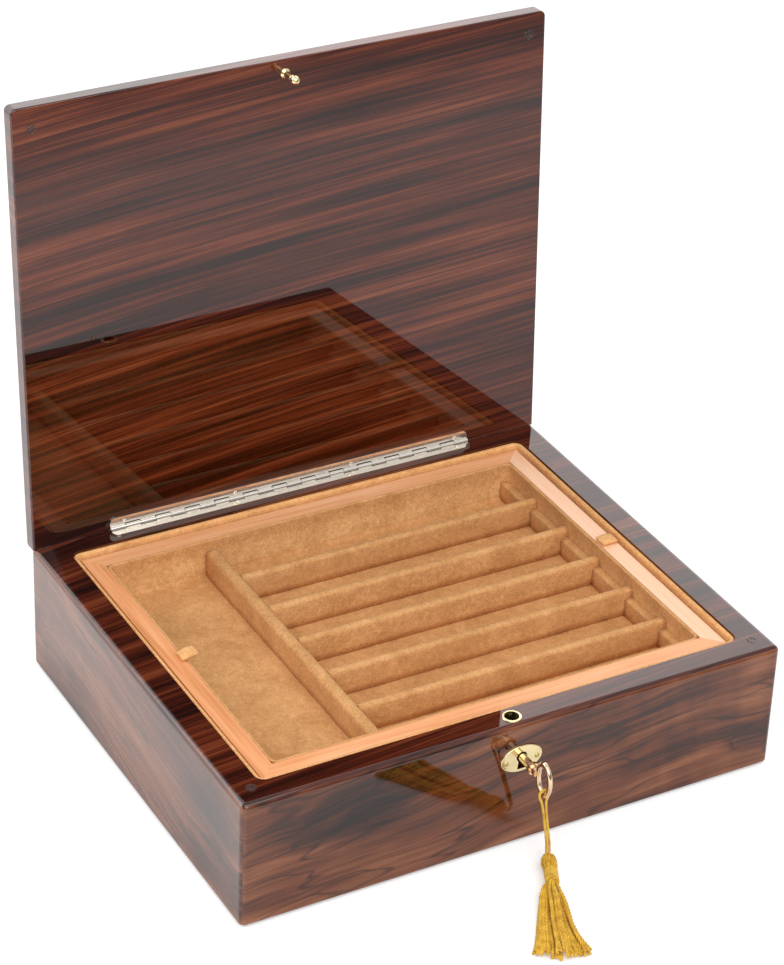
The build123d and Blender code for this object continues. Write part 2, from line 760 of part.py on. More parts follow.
# the skirt of threads, as one body spread on the table
with BuildPart() as tassel_skirt:
    for distance, half_wide, half_high, sideways in skirt_stations:
        level = tassel_head_top.Z if distance == bound_length else half_high + skirt_clearance
        with BuildSketch(along_tassel(distance, level)):
            with Locations((sideways, 0)):
                Ellipse(half_wide, half_high)
    loft()
save(tassel_skirt.part, "tassel_skirt")


def winding_point(turn):
    """A point of the binding thread's centre line round the tassel's neck."""
    seat = along_tassel(head_length + thread_diameter / 2 + thread_pitch * turn)
    angle = 2 * pi * turn
    reach = core_radius + thread_diameter / 2
    return seat.origin + seat.x_dir * (reach * cos(angle)) + seat.y_dir * (reach * sin(angle))


def winding_heading(turn):
    """The binding thread's direction there."""
    return (winding_point(turn + 0.0005) - winding_point(turn - 0.0005)).normalized()


def add_biarc(start, start_way, end, end_way):
    """Two arcs that join two points with the given directions and share a tangent where they meet."""
    chord = end - start
    sum_way = start_way + end_way
    spread = 2 * (1 - start_way.dot(end_way))
    reach = (sqrt(chord.dot(sum_way) ** 2 + spread * chord.dot(chord)) - chord.dot(sum_way)) / spread
    first = start + start_way * reach
    second = end - end_way * reach
    middle = (first + second) / 2
    TangentArc(start, middle, tangent=start_way)
    TangentArc(middle, end, tangent=second - first)


quarters = int(4 * thread_turns)
with BuildPart() as tassel_binding:
    with BuildLine() as thread_path:
        for quarter in range(quarters):
            start = quarter / 4
            end = start + 0.25
            add_biarc(winding_point(start), winding_heading(start), winding_point(end), winding_heading(end))
    with BuildSketch(Plane(origin=winding_point(0), z_dir=winding_heading(0))):
        Circle(thread_diameter / 2)
    sweep()
save(tassel_binding.part, "tassel_binding")

steps = 24
samples = [winding_point(step / steps) for step in range(int(steps * thread_turns))]
gaps = [(samples[i] - samples[j]).length for i in range(len(samples)) for j in range(i + steps // 2, len(samples))]
print("binding thread least gap", round(min(gaps) - thread_diameter, 2), "mm")

# one cord: up from the head, round the ring and down again, two strands side by side
offset_side = tassel_side * strand_half_gap
right_strand = [point + offset_side for point in cord_foot]
right_strand += [Vector(x, ring_plane_y, z) for x, z in cord_loop]
left_strand = [point - offset_side for point in cord_foot]
left_strand += [Vector(-x, ring_plane_y, z) for x, z in cord_loop]
cord_route = right_strand + left_strand[::-1]


def bend_radius(before, corner, after):
    """The largest tangent arc that the two runs beside a corner leave room for."""
    turn = (corner - before).get_angle(after - corner)
    shorter = min((corner - before).length, (after - corner).length)
    return 0.45 * shorter / tan(radians(turn) / 2)


radii = [bend_radius(*cord_route[i : i + 3]) for i in range(len(cord_route) - 2)]
with BuildPart() as tassel_cord:
    with BuildLine() as cord_path:
        FilletPolyline(*cord_route, radius=radii)
    with BuildSketch(Plane(origin=cord_path.line @ 0, z_dir=cord_path.line % 0)):
        Circle(cord_diameter / 2)
    sweep()
save(tassel_cord.part, "tassel_cord")
cord_length = sum(edge.length for edge in cord_path.edges())
cord_volume = pi * cord_diameter**2 / 4 * cord_length
print("cord radii", [round(radius, 1) for radius in radii], "mm, length", round(cord_length, 1), "mm")
print("cord volume over section times length", round(tassel_cord.part.volume / cord_volume, 4))
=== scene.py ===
"""Looks of the pen collector chest: lacquered veneer, cedar, suede, bright hardware and a tasselled key.

Lengths are written in millimetres and turned into metres by mm(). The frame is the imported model's:
X along the front, Y to the back, Z up, with the origin at the centre of the footprint on the table.
"""

import math
import random

import bmesh
import bpy
from mathutils import Matrix, Vector, noise


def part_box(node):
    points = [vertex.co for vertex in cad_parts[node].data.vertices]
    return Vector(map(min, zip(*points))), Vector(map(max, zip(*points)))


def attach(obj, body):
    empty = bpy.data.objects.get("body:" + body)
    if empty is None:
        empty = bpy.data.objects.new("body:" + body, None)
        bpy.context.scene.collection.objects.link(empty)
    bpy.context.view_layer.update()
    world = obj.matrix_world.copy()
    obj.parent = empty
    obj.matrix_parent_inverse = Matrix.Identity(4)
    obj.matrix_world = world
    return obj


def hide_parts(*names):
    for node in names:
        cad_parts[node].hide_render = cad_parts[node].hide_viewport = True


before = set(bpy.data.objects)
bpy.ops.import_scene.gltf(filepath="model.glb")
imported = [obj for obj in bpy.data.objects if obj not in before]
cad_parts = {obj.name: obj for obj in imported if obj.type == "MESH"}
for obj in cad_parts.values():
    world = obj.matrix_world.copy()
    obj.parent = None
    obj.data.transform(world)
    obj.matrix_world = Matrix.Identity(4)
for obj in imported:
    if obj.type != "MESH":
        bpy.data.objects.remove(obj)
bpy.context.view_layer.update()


def mm(value):
    """Millimetres to metres, for a number or a group of numbers."""
    if isinstance(value, (tuple, list, Vector)):
        return Vector([part / 1000 for part in value])
    return value / 1000


# ---------------------------------------------------------------- sizes shared with the solids, in mm
# the case inside its walls, and its suede lining
INNER_HALF = (125.5, 101.0)
LINING = 2.5
LIP_TOP = 66.4
LEDGE_TOP = 40.0
FLOOR_TOP = 7.0

# the lift-out tray: inside its cedar rails, inside its suede pan, and its slots for pens
RAIL_HALF = (112.7, 88.2)
PAN_HALF = (111.7, 87.2)
PAN_FLOOR = 44.0
TRAY_TOP = 64.0
PEN_DIVIDER = 4.5
SLOTS = 6

# the two pull tabs
TAB_WIDTH = 6.8
TAB_LENGTH = 7.4
TAB_THICKNESS = 0.6

# the tassel on the table, from the top of its head to the end of its skirt, and its cord
TASSEL_TOP = Vector((5.7, -134.1, 4.3))
TASSEL_TAIL = Vector((-22.1, -192.2, 4.3))
HEAD_RADIUS = 4.1
HEAD_LENGTH = 10.5
NECK_RADIUS = 3.1
NECK_LENGTH = 9.0
THREAD_PITCH = 1.3
THREAD_TURNS = 6.25
CORD_DIAMETER = 1.2
STRAND_HALF_GAP = 0.68
RING_PLANE_Y = -135.6
CORD_FOOT = ((5.27, -135.0, 4.3), (6.4, -132.65, 4.3), (7.1, -131.2, 6.2), (7.2, -130.9, 9.0))
CORD_LOOP = ((0.68, 37.8), (2.45, 40.3), (2.45, 44.3))
CORD_LENGTH = 92.6


# ---------------------------------------------------------------- shader expressions
class Socket:
    """A node's output; Python's operators on it add Math nodes."""

    def __init__(self, finish, output):
        self.finish = finish
        self.output = output

    def math(self, operation, *others):
        return self.finish.node("ShaderNodeMath", {"operation": operation}, self, *others)

    def __add__(self, other):
        return self.math("ADD", other)

    def __radd__(self, other):
        return self.math("ADD", other)

    def __sub__(self, other):
        return self.math("SUBTRACT", other)

    def __rsub__(self, other):
        return self.finish.node("ShaderNodeMath", {"operation": "SUBTRACT"}, other, self)

    def __mul__(self, other):
        return self.math("MULTIPLY", other)

    def __rmul__(self, other):
        return self.math("MULTIPLY", other)

    def __truediv__(self, other):
        return self.math("DIVIDE", other)

    def __gt__(self, other):
        return self.math("GREATER_THAN", other)

    def __abs__(self):
        return self.math("ABSOLUTE")

    def stretch(self, low, high, to_low=0.0, to_high=1.0):
        """This number mapped from one range to another, held inside the second."""
        return self.finish.node("ShaderNodeMapRange", {"clamp": True}, self, low, high, to_low, to_high)


class Nodes:
    """Builds nodes in one tree."""

    def __init__(self, tree):
        self.tree = tree
        self.tree.nodes.clear()

    def node(self, kind, settings, *values, pick=0, **named):
        """Adds a node: its settings first, then its sockets in order or by name. Returns one output."""
        made = self.tree.nodes.new(kind)
        for setting, value in settings.items():
            if setting == "stops":
                self.set_stops(made.color_ramp, value)
            else:
                setattr(made, setting, value)
        sockets = [socket for socket in made.inputs if socket.enabled]
        for socket, value in zip(sockets, values):
            self.join(socket, value)
        for label, value in named.items():
            wanted = label.replace("_", " ")
            self.join(next(socket for socket in sockets if socket.name == wanted), value)
        if isinstance(pick, str):
            return Socket(self, made.outputs[pick])
        return Socket(self, [output for output in made.outputs if output.enabled][pick])

    def set_stops(self, ramp, stops):
        """Gives a ramp its stops as (position, colour) pairs."""
        while len(ramp.elements) < len(stops):
            ramp.elements.new(1.0)
        for element, (position, colour) in zip(ramp.elements, stops):
            element.position = position
            element.color = (*colour, 1.0)

    def join(self, socket, value):
        """Links a Socket, or sets a plain value."""
        if isinstance(value, Socket):
            self.tree.links.new(value.output, socket)
        elif isinstance(value, tuple) and len(value) == 3 and socket.type == "RGBA":
            socket.default_value = (*value, 1.0)
        else:
            socket.default_value = value

    def parts(self, vector):
        """The three numbers of a vector."""
        split = self.node("ShaderNodeSeparateXYZ", {}, vector, pick="X").output.node
        return [Socket(self, split.outputs[axis]) for axis in "XYZ"]

    def vector(self, x, y, z):
        return self.node("ShaderNodeCombineXYZ", {}, x, y, z)

    def blend(self, share, first, second):
        """A colour between two, by a share from 0 to 1."""
        settings = {"data_type": "RGBA", "clamp_factor": True}
        return self.node("ShaderNodeMix", settings, share, first, second)

    def darken(self, share, colour, tint):
        """A colour multiplied by a tint, by a share."""
        settings = {"data_type": "RGBA", "blend_type": "MULTIPLY"}
        return self.node("ShaderNodeMix", settings, share, colour, tint)

    def ramp(self, share, *stops):
        return self.node("ShaderNodeValToRGB", {"stops": stops}, share, pick="Color")

    def cloud(self, vector, scale, detail=2.0, roughness=0.5, distortion=0.0):
        """Soft noise from about 0.3 to 0.7."""
        return self.node(
            "ShaderNodeTexNoise",
            {},
            Vector=vector,
            Scale=scale,
            Detail=detail,
            Roughness=roughness,
            Distortion=distortion,
        )

    def bump(self, height, strength, distance):
        return self.node("ShaderNodeBump", {}, Strength=strength, Distance=distance, Height=height)

    def end(self, kind, shader):
        """Joins the last shader to the tree's output."""
        output = self.tree.nodes.new(kind)
        self.tree.links.new(shader.output, output.inputs["Surface"])


class Finish(Nodes):
    """One node material, made for a named finish of the chest."""

    def __init__(self, name):
        self.material = bpy.data.materials.new(name)
        self.material.use_nodes = True
        super().__init__(self.material.node_tree)
        self.place = self.node("ShaderNodeTexCoord", {}, pick="Object")
        self.facing = self.node("ShaderNodeTexCoord", {}, pick="Normal")

    def surface(self, **sockets):
        """Ends the material in one Principled shader."""
        shader = self.node("ShaderNodeBsdfPrincipled", {}, **sockets)
        self.end("ShaderNodeOutputMaterial", shader)
        return self.material


# ---------------------------------------------------------------- veneer
ROSEWOOD = (
    (0.18, (0.0066, 0.0008, 0.0004)),
    (0.36, (0.0270, 0.0032, 0.0010)),
    (0.54, (0.0680, 0.0100, 0.0030)),
    (0.72, (0.1380, 0.0270, 0.0085)),
    (0.92, (0.2300, 0.0640, 0.0240)),
)
WALNUT = (
    (0.14, (0.0120, 0.0034, 0.0020)),
    (0.34, (0.0500, 0.0110, 0.0040)),
    (0.54, (0.1280, 0.0320, 0.0100)),
    (0.74, (0.2200, 0.0720, 0.0270)),
    (0.94, (0.3200, 0.1280, 0.0600)),
)
# how the grain of each veneer rises across a sheet, and how that slope eases towards the right
ROSEWOOD_RISE = (0.095, 0.19)
WALNUT_RISE = (0.07, 0.20)

# a face looks along an axis where that part of its normal is above this
FACES_ALONG = 0.7


def grain_place(finish):
    """Coordinates on each face in metres: along the grain, across it, and through the sheet."""
    x, y, z = finish.parts(finish.place)
    side_x, side_y, _ = finish.parts(finish.facing)
    on_side = abs(side_x) > FACES_ALONG
    on_front = abs(side_y) > FACES_ALONG
    upright = finish.vector(x, z, y)
    level = finish.vector(x, y, z)
    endwise = finish.vector(y, z, x)
    settings = {"data_type": "VECTOR"}
    front_or_top = finish.node("ShaderNodeMix", settings, on_front, level, upright)
    return finish.node("ShaderNodeMix", settings, on_side, front_or_top, endwise)


def grain_rise(along, rise):
    """How far the grain has risen at a place along the sheet."""
    slope, ease = rise
    return along * slope - along * along * ease


def rosewood_colour(finish, place):
    """Dark stripes along the grain, gently bowed, with fine streaks and open pores."""
    along, across, depth = finish.parts(place)
    rise = grain_rise(along, ROSEWOOD_RISE)
    drift = finish.cloud(finish.vector(along, across, depth), 4.0, 0.0)
    bent = across - rise + (drift - 0.5) * 0.022
    bands = finish.cloud(finish.vector(along * 0.6, bent * 12.0, depth * 0.2), 8.0, 2.0, 0.55)
    streaks = finish.cloud(finish.vector(along * 0.7, bent * 48.0, depth), 9.0, 4.0, 0.68)
    hairs = finish.cloud(finish.vector(along * 1.6, bent * 170.0, depth), 9.0, 2.0, 0.6)
    pores = finish.cloud(finish.vector(along * 14.0, bent * 420.0, depth), 8.0, 2.0, 0.5)
    broad = bands.stretch(0.32, 0.68) * 0.40
    fine = streaks.stretch(0.34, 0.66) * 0.42 + hairs.stretch(0.3, 0.7) * 0.20
    colour = finish.ramp(broad + fine, *ROSEWOOD)
    open_pores = pores.stretch(0.56, 0.72, 0.0, 0.45)
    return finish.darken(open_pores, colour, (0.35, 0.30, 0.30))


def walnut_colour(finish, place):
    """Figured veneer: long clouds, thin dark lines, and a cross shimmer towards one end."""
    along, across, depth = finish.parts(place)
    bow = finish.cloud(finish.vector(along, across, depth), 5.5, 1.0)
    knot = finish.cloud(finish.vector(along + 3.0, across * 1.5, depth), 15.0, 2.0)
    rise = grain_rise(along, WALNUT_RISE)
    u = along + (bow - 0.5) * 0.09
    v = across - rise + (bow - 0.5) * 0.040 + (knot - 0.5) * 0.011
    clouds = finish.cloud(finish.vector(u * 0.7, v * 2.2, depth), 16.0, 2.0, 0.5)
    lines = finish.cloud(finish.vector(u * 0.7, v * 8.0, depth), 13.0, 3.0, 0.6)
    hairs = finish.cloud(finish.vector(u * 2.0, v * 60.0, depth), 10.0, 3.0, 0.6)
    shimmer = finish.cloud(finish.vector(along * 6.0 + across, across * 1.5, depth), 13.0, 1.0)
    at_one_end = along.stretch(0.0, 0.08, 0.0, 0.36)
    tone = clouds.stretch(0.32, 0.66) * 0.46 + lines.stretch(0.32, 0.68) * 0.34
    tone = tone + hairs.stretch(0.30, 0.70) * 0.20 + (shimmer - 0.42) * at_one_end
    colour = finish.ramp(tone, *WALNUT)
    seams = finish.cloud(finish.vector(u * 0.8, v * 5.0, depth + 2.0), 12.0, 2.0, 0.6)
    thin_line = abs(seams - 0.5).stretch(0.004, 0.022, 0.75, 0.0)
    lined = finish.darken(thin_line, colour, (0.25, 0.20, 0.20))
    pores = finish.cloud(finish.vector(u * 40.0, v * 300.0, depth), 8.0, 2.0)
    return finish.darken(pores.stretch(0.56, 0.74, 0.0, 0.35), lined, (0.45, 0.40, 0.38))


def lacquered(finish, colour):
    """Thick polished lacquer over a veneer, mirror-bright with the faintest ripple."""
    ripple = finish.cloud(finish.place, 18.0, 1.0)
    return finish.surface(
        Base_Color=colour,
        Roughness=0.018,
        IOR=1.60,
        Normal=finish.bump(ripple, strength=0.03, distance=0.001),
    )


def rosewood_finish():
    finish = Finish("rosewood_lacquer")
    return lacquered(finish, rosewood_colour(finish, grain_place(finish)))


def wall_finish():
    """The walls of the case: figured walnut on the upright faces, rosewood on the rim."""
    finish = Finish("wall_lacquer")
    place = grain_place(finish)
    _, _, upward = finish.parts(finish.facing)
    on_top = abs(upward) > FACES_ALONG
    colour = finish.blend(on_top, walnut_colour(finish, place), rosewood_colour(finish, place))
    return lacquered(finish, colour)


# ---------------------------------------------------------------- other woods and cloths
def cedar_finish():
    """Pale orange cedar with fine straight grain, satin; the frame's corners are mitred."""
    finish = Finish("cedar_satin")
    x, y, z = finish.parts(finish.place)
    drift = finish.cloud(finish.place, 9.0, 2.0)
    past_side = abs(y) - abs(x)
    on_long_rail = past_side > mm(RAIL_HALF[1] - RAIL_HALF[0])
    lengthways = finish.vector(x * 3.0, y * 90.0, z * 90.0)
    endways = finish.vector(y * 3.0, x * 90.0, z * 90.0)
    place = finish.node("ShaderNodeMix", {"data_type": "VECTOR"}, on_long_rail, endways, lengthways)
    grain = finish.cloud(place, 5.0, 3.0, 0.6, 0.4)
    flecks = finish.cloud(place, 26.0, 2.0, 0.6)
    # The right rail is lighter than the left, and the back rail lighter than the front: partly the boards'
    # own paler tone, partly painted light making up for the shade the lid and the lamps leave on them.
    paler_and_lit_right = x.stretch(-0.05, 0.05, 0.04, 0.62)
    paler_and_lit_back = y.stretch(-0.05, 0.05, 0.06, 0.16)
    board_tone_and_light = paler_and_lit_right + on_long_rail * (paler_and_lit_back - paler_and_lit_right)
    tone = grain.stretch(0.30, 0.70) * 0.5 + drift.stretch(0.3, 0.7) * 0.20 + board_tone_and_light
    colour = finish.ramp(
        tone,
        (0.05, (0.640, 0.250, 0.092)),
        (0.35, (0.820, 0.355, 0.150)),
        (0.65, (0.900, 0.460, 0.230)),
        (1.00, (0.950, 0.580, 0.370)),
    )
    marked = finish.darken(flecks.stretch(0.60, 0.74, 0.0, 0.5), colour, (0.80, 0.62, 0.48))
    return finish.surface(
        Base_Color=marked,
        Roughness=grain.stretch(0.3, 0.7, 0.36, 0.48),
        Normal=finish.bump(grain + flecks * 0.5, strength=0.12, distance=0.0006),
    )


def suede_finish(name, shade=1.0):
    """Camel suede: soft patches where the nap lies differently, fine fibre speckle, velvet sheen."""
    finish = Finish(name)
    patches = finish.cloud(finish.place, 60.0, 3.0, 0.6, 0.8)
    strokes = finish.cloud(finish.place, 420.0, 3.0, 0.7, 0.4)
    fibres = finish.cloud(finish.place, 1500.0, 2.0, 0.7)
    speckle = strokes.stretch(0.30, 0.70) * 0.30 + fibres.stretch(0.30, 0.70) * 0.42
    tone = patches.stretch(0.30, 0.70) * 0.28 + speckle
    dark = tuple(shade * part for part in (0.450, 0.215, 0.074))
    middle = tuple(shade * part for part in (0.630, 0.325, 0.130))
    light = tuple(min(shade * part, 0.95) for part in (0.800, 0.455, 0.205))
    colour = finish.ramp(tone, (0.15, dark), (0.50, middle), (0.85, light))
    return finish.surface(
        Base_Color=colour,
        Roughness=0.95,
        Specular_IOR_Level=0.1,
        Sheen_Weight=0.14,
        Sheen_Roughness=0.45,
        Sheen_Tint=(1.0, 0.82, 0.56),
        Normal=finish.bump(strokes * 0.5 + fibres * 0.5, strength=0.55, distance=0.0006),
    )


def felt_finish():
    finish = Finish("dark_felt")
    fibres = finish.cloud(finish.place, 900.0, 4.0, 0.7)
    colour = finish.ramp(fibres, (0.3, (0.012, 0.009, 0.008)), (0.7, (0.040, 0.032, 0.028)))
    return finish.surface(
        Base_Color=colour,
        Roughness=1.0,
        Sheen_Weight=0.4,
        Sheen_Roughness=0.5,
        Normal=finish.bump(fibres, strength=0.6, distance=0.0008),
    )


def plywood_finish():
    finish = Finish("sanded_plywood")
    x, y, z = finish.parts(finish.place)
    grain = finish.cloud(finish.vector(x * 4.0, y * 60.0, z * 200.0), 6.0, 4.0, 0.6, 0.5)
    colour = finish.ramp(
        grain,
        (0.30, (0.360, 0.215, 0.110)),
        (0.55, (0.520, 0.345, 0.190)),
        (0.75, (0.600, 0.430, 0.260)),
    )
    return finish.surface(
        Base_Color=colour,
        Roughness=0.7,
        Normal=finish.bump(grain, strength=0.15, distance=0.0005),
    )


def thread_finish():
    """Shiny gold rayon, a little uneven in its dye."""
    finish = Finish("gold_thread")
    patches = finish.cloud(finish.place, 260.0, 3.0, 0.6)
    fibres = finish.cloud(finish.place, 2600.0, 2.0, 0.6)
    tone = patches.stretch(0.3, 0.7) * 0.6 + fibres.stretch(0.3, 0.7) * 0.4
    colour = finish.ramp(
        tone,
        (0.00, (0.420, 0.190, 0.006)),
        (0.50, (0.700, 0.400, 0.024)),
        (1.00, (0.920, 0.620, 0.090)),
    )
    return finish.surface(
        Base_Color=colour,
        Roughness=0.40,
        Sheen_Weight=0.25,
        Sheen_Roughness=0.3,
        Normal=finish.bump(fibres, strength=0.3, distance=0.0003),
    )


# ---------------------------------------------------------------- metals
def metal_finish(name, tone, roughness, scratch=0.04):
    """Metal with hairline wear, and faint smudges that dull its colour and its gloss."""
    finish = Finish(name)
    smudge = finish.cloud(finish.place, 140.0, 3.0, 0.6)
    x, y, z = finish.parts(finish.place)
    hairs = finish.cloud(finish.vector(x * 40.0, y * 40.0, z * 900.0), 4.0, 2.0, 0.7)
    dull = tuple(0.86 * part for part in tone)
    return finish.surface(
        Base_Color=finish.blend(smudge.stretch(0.35, 0.7), tone, dull),
        Metallic=1.0,
        Roughness=smudge.stretch(0.3, 0.7, roughness, roughness + 0.10),
        Normal=finish.bump(hairs, strength=scratch, distance=0.0002),
    )


def clear_dot_finish():
    """Clear soft plastic: little more than its glint shows."""
    finish = Finish("clear_dot")
    milk = finish.cloud(finish.place, 700.0, 2.0)
    return finish.surface(
        Base_Color=finish.ramp(milk, (0.3, (0.42, 0.34, 0.32)), (0.7, (0.60, 0.52, 0.50))),
        Roughness=0.08,
        Alpha=0.07,
        Coat_Weight=1.0,
        Coat_Roughness=0.03,
    )


finishes = {
    "rosewood": rosewood_finish(),
    "wall": wall_finish(),
    "cedar": cedar_finish(),
    "suede": suede_finish("camel_suede"),
    # The lip's suede is the camel suede made 1.25 times brighter: painted light for the lit, rounded lip,
    # also used on the tabs.
    "lip_suede": suede_finish("lip_suede_painted_lighter", 1.25),
    "felt": felt_finish(),
    "plywood": plywood_finish(),
    "thread": thread_finish(),
    "nickel": metal_finish("polished_nickel", (0.98, 0.92, 0.84), 0.10),
    "brass": metal_finish("polished_brass", (0.97, 0.81, 0.46), 0.12),
    "rose_brass": metal_finish("polished_rose_brass", (0.96, 0.72, 0.48), 0.12),
    "dull_brass": metal_finish("dull_brass", (0.62, 0.45, 0.17), 0.26),
    "lock_steel": metal_finish("plain_steel", (0.52, 0.51, 0.50), 0.34, 0.15),
    "clear_dot": clear_dot_finish(),
}

node_finishes = {
    "rosewood": ("lid_panel",),
    "wall": ("case_front_wall", "case_back_wall", "case_left_wall", "case_right_wall"),
    "plywood": ("case_bottom", "tray_base"),
    "felt": ("base_felt",),
    "cedar": (
        "tray_ledge_left",
        "tray_ledge_right",
        "tray_ledge_front",
        "tray_ledge_back",
        "tray_rail_left",
        "tray_rail_right",
        "tray_rail_front",
        "tray_rail_back",
    ),
    "nickel": ("hinge_case_leaf", "hinge_lid_leaf", "hinge_pin", "hinge_case_screws", "hinge_lid_screws"),
    "clear_dot": ("rim_bumpers", "lid_bumpers"),
    "lock_steel": ("lock_case", "lock_cover", "lock_cover_screws", "key_post", "lock_curtain", "lock_bolt"),
    "brass": ("lock_socket", "escutcheon", "lid_catch_stud"),
    "dull_brass": ("escutcheon_pins",),
    "rose_brass": ("key",),
}
for finish_name, nodes in node_finishes.items():
    for node in nodes:
        for material_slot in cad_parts[node].material_slots:
            material_slot.material = finishes[finish_name]


# ---------------------------------------------------------------- mesh helpers
def mesh_piece(name, points, faces, finish, body):
    """A smooth mesh object from points in metres, with its finish and body."""
    mesh = bpy.data.meshes.new(name)
    mesh.from_pydata([tuple(point) for point in points], [], faces)
    mesh.update()
    piece = bpy.data.objects.new(name, mesh)
    bpy.context.scene.collection.objects.link(piece)
    mesh.materials.append(finishes[finish])
    mesh.polygons.foreach_set("use_smooth", [True] * len(mesh.polygons))
    tidy = bmesh.new()
    tidy.from_mesh(mesh)
    bmesh.ops.recalc_face_normals(tidy, faces=tidy.faces)
    tidy.to_mesh(mesh)
    tidy.free()
    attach(piece, body)
    return piece


def ring_faces(rings, around):
    """Quads between closed rings of points that are numbered one ring after another."""
    faces = []
    for ring in range(rings - 1):
        for step in range(around):
            a = ring * around + step
            b = ring * around + (step + 1) % around
            faces.append((a, b, b + around, a + around))
    return faces


def ring_cap(ring, around):
    """One face that closes the ring of this number."""
    return tuple(range(ring * around, (ring + 1) * around))


def rounded_outline(half_x, half_y, radius, corner_steps=6, side_steps=24):
    """Points round a rectangle with rounded corners, counter-clockwise, as (x, y) pairs."""
    sharpest = 0.01
    radius = max(radius, sharpest)
    outline = []
    for quarter in range(4):
        turn = quarter * math.pi / 2
        centre_x = (half_x - radius) * (1 if quarter in (0, 3) else -1)
        centre_y = (half_y - radius) * (1 if quarter in (0, 1) else -1)
        for step in range(corner_steps + 1):
            angle = turn + step * math.pi / 2 / corner_steps
            outline.append((centre_x + radius * math.cos(angle), centre_y + radius * math.sin(angle)))
        start = outline[-1]
        turn += math.pi / 2
        next_x = (half_x - radius) * (1 if quarter in (3, 2) else -1)
        next_y = (half_y - radius) * (1 if quarter in (3, 0) else -1)
        end = (next_x + radius * math.cos(turn), next_y + radius * math.sin(turn))
        for step in range(1, side_steps):
            share = step / side_steps
            outline.append((start[0] + (end[0] - start[0]) * share, start[1] + (end[1] - start[1]) * share))
    return outline


def waver(point, size, reach, seed=0.0):
    """A small smooth wobble, the same each run, for cloth that isn't quite even."""
    return noise.noise(Vector(point) / size + Vector((seed, seed * 0.7, 1.3))) * reach


def lining_ring(name, half, corner, profile, finish, body, node, floor=False):
    """A suede band round the inside of a rectangle: the profile is (inward, height) pairs in mm."""
    unevenness = 0.05
    outlines = [rounded_outline(half[0] - inward, half[1] - inward, corner - inward) for inward, _ in profile]
    around = len(outlines[0])
    points = []
    for outline, (_, height) in zip(outlines, profile):
        for x, y in outline:
            lift = waver((x, y, height), size=18.0, reach=unevenness)
            sway = waver((x, y, height), size=26.0, reach=unevenness, seed=5.0)
            points.append(mm((x + sway, y - sway, height + lift)))
    faces = ring_faces(len(profile), around)
    if floor:
        faces.append(ring_cap(len(profile) - 1, around))
    piece = mesh_piece(name, points, faces, finish, body)
    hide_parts(node)


def arc(centre, radius, start, end, steps):
    """Points on an arc as pairs, with angles in degrees."""
    points = []
    for step in range(steps + 1):
        angle = math.radians(start + (end - start) * step / steps)
        points.append((centre[0] + radius * math.cos(angle), centre[1] + radius * math.sin(angle)))
    return points


# ---------------------------------------------------------------- suede linings
def case_lining():
    """The suede band inside the case, with its rounded lip just below the rim."""
    bead = LINING / 2
    glue = 0.02
    corner = 5.0
    profile = [(glue, FLOOR_TOP + 1.0), (glue, LIP_TOP - bead)]
    profile += arc((bead, LIP_TOP - bead), bead - glue, 180, 0, 10)
    profile += [(LINING, LIP_TOP - 8.0), (LINING, LEDGE_TOP), (LINING, FLOOR_TOP + 1.4)]
    lining_ring("case_lining_suede", INNER_HALF, corner, profile, "lip_suede", "case", "case_lining")


def tray_pan():
    """The tray's suede pan: a narrow bead against the cedar, soft walls and a soft floor."""
    bead = 0.75
    top = TRAY_TOP + 0.1
    wall = RAIL_HALF[0] - PAN_HALF[0] + 0.35
    soft = 2.5
    corner = 4.0
    profile = [(0.15, top - 2.0), (0.08, top - bead)]
    profile += arc((bead + 0.05, top - bead), bead, 180, 0, 8)
    profile += [(wall - 0.1, top - 2.2), (wall - 0.15, top - 5.0), (wall - 0.15, PAN_FLOOR + soft)]
    profile += arc((wall + soft - 0.15, PAN_FLOOR + soft), soft, 180, 270, 6)
    lining_ring("tray_pan_suede", RAIL_HALF, corner, profile, "suede", "tray", "tray_lining", floor=True)


def suede_board(name, low, high, length_axis, rounding, node):
    """A suede-covered board standing on the pan, with a full rounded top and slightly uneven faces."""
    width_axis = 1 - length_axis
    half = (high[width_axis] - low[width_axis]) / 2
    middle = (high[width_axis] + low[width_axis]) / 2
    shoulder = high[2] - rounding
    unevenness = 0.14
    section = [(-half, low[2] - 0.2), (-half, low[2] + 4.0), (-half, shoulder - 3.0)]
    round_steps = 6
    for step in range(round_steps + 1):
        angle = math.radians(90 * step / round_steps)
        outward = -half + rounding - rounding * math.cos(angle)
        section.append((outward, shoulder + rounding * math.sin(angle)))
    section += [(-x, z) for x, z in reversed(section)]
    length = high[length_axis] - low[length_axis]
    station_length = 3.0
    stations = max(int(length / station_length), 8)
    points = []
    for station in range(stations + 1):
        along = low[length_axis] + length * station / stations
        for across, z in section:
            point = [0.0, 0.0, z]
            point[length_axis] = along
            point[width_axis] = middle + across
            swell = waver(point, size=13.0, reach=unevenness, seed=3.0) * (1 if across > 0 else -1)
            point[width_axis] += swell
            if z > shoulder:
                point[2] += waver(point, size=18.0, reach=unevenness, seed=8.0)
            points.append(mm(point))
    around = len(section)
    faces = ring_faces(stations + 1, around) + [ring_cap(0, around), ring_cap(stations, around)]
    piece = mesh_piece(name, points, faces, "suede", "tray")
    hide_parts(node)


def node_box_mm(node):
    """A node's lowest and highest corners in mm."""
    low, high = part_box(node)
    return [part * 1000 for part in low], [part * 1000 for part in high]


def tray_boards():
    """The main divider, the five pen dividers, and the low rail across the ends of the slots."""
    low, high = node_box_mm("main_divider")
    suede_board("main_divider_suede", low, high, 1, 2.6, "main_divider")
    for number in range(1, SLOTS):
        node = f"pen_divider_{number}"
        low, high = node_box_mm(node)
        suede_board(f"{node}_suede", low, high, 0, 1.9, node)
    low, high = node_box_mm("end_rail")
    slot = (2 * PAN_HALF[1] - (SLOTS - 1) * PEN_DIVIDER) / SLOTS
    for number in range(SLOTS):
        start = low[1] + number * (slot + PEN_DIVIDER)
        block_low = [low[0], start, low[2]]
        block_high = [high[0], start + slot, high[2]]
        suede_board(f"end_rail_{number + 1}", block_low, block_high, 1, 1.4, "end_rail")


